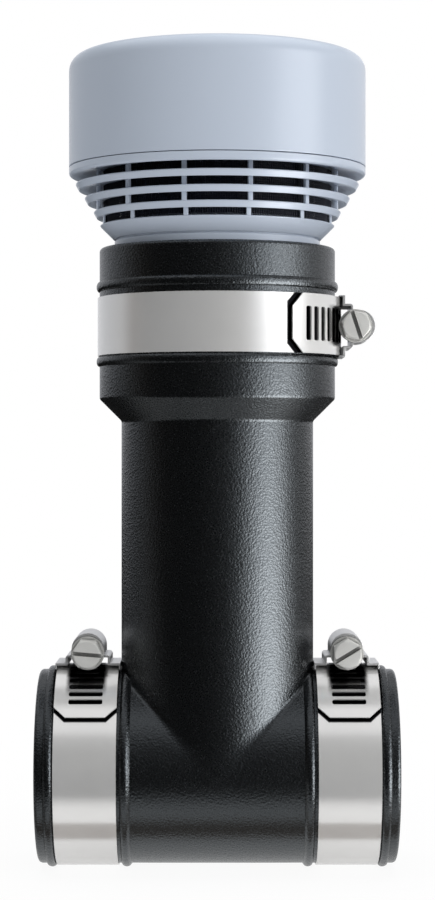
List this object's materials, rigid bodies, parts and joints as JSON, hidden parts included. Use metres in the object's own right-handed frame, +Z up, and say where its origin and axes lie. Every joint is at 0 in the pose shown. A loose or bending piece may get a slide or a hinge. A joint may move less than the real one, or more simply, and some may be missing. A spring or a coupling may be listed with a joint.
{
  "type": "air admittance valve",
  "caption": "Air admittance valve with a louvred cage and cap, clamped in a rubber tee connector by worm-drive bands.",
  "frame": {"origin": "on the branch's vertical axis, level with the lowest point of the ridges round the run", "axes": "+Z up the branch towards the cap, +X along the straight run towards the side that carries the collar clamp's screw, -Y towards the heads of the three screws"},
  "size_m": [0.0924, 0.0774, 0.2111],
  "materials": {
    "tee_rubber": "fine leathery moulded grain, satin",
    "valve_plastic": "smooth glossy moulding, pale grey-blue",
    "seal_rubber": "smooth seal",
    "screen_mesh": "fine dark mesh",
    "black_plastic": "moulded, satin",
    "bush_plastic": "moulded, natural",
    "clip_steel": "spring steel",
    "band_steel": "polished stainless strip",
    "housing_steel": "pressed stainless, satin",
    "screw_steel": "zinc plated, matt"
  },
  "bodies": {
    "fixed_body": {"tee_connector": "tee_rubber", "valve_spigot": "valve_plastic", "louvre_cage": "valve_plastic", "vent_cap": "valve_plastic", "cap_gasket": "seal_rubber", "insect_screen": "screen_mesh", "seat_tube": "black_plastic", "guide_bush": "bush_plastic", "collar_band": "band_steel", "collar_saddle": "housing_steel", "collar_housing": "housing_steel", "left_band": "band_steel", "left_saddle": "housing_steel", "left_housing": "housing_steel", "right_band": "band_steel", "right_saddle": "housing_steel", "right_housing": "housing_steel"},
    "lift_body": {"valve_disc": "black_plastic", "membrane": "seal_rubber", "membrane_retainer": "black_plastic", "stem_clip": "clip_steel"},
    "collar_screw_body": {"collar_screw": "screw_steel"},
    "left_screw_body": {"left_screw": "screw_steel"},
    "right_screw_body": {"right_screw": "screw_steel"}
  },
  "joints": [
    {"name": "valve_lift", "type": "slide", "parent": "fixed_body", "child": "lift_body", "axis": [0, 0, 1], "range_m": [0, 0.0045]},
    {"name": "collar_screw_turn", "type": "hinge", "parent": "fixed_body", "child": "collar_screw_body", "pos_m": [0.0356, 0, 0.1404], "axis": [0, 1, 0], "continuous": true},
    {"name": "left_screw_turn", "type": "hinge", "parent": "fixed_body", "child": "left_screw_body", "pos_m": [-0.0334, 0, 0.05605], "axis": [0, 1, 0], "continuous": true},
    {"name": "right_screw_turn", "type": "hinge", "parent": "fixed_body", "child": "right_screw_body", "pos_m": [0.0334, 0, 0.05605], "axis": [0, 1, 0], "continuous": true}
  ]
}
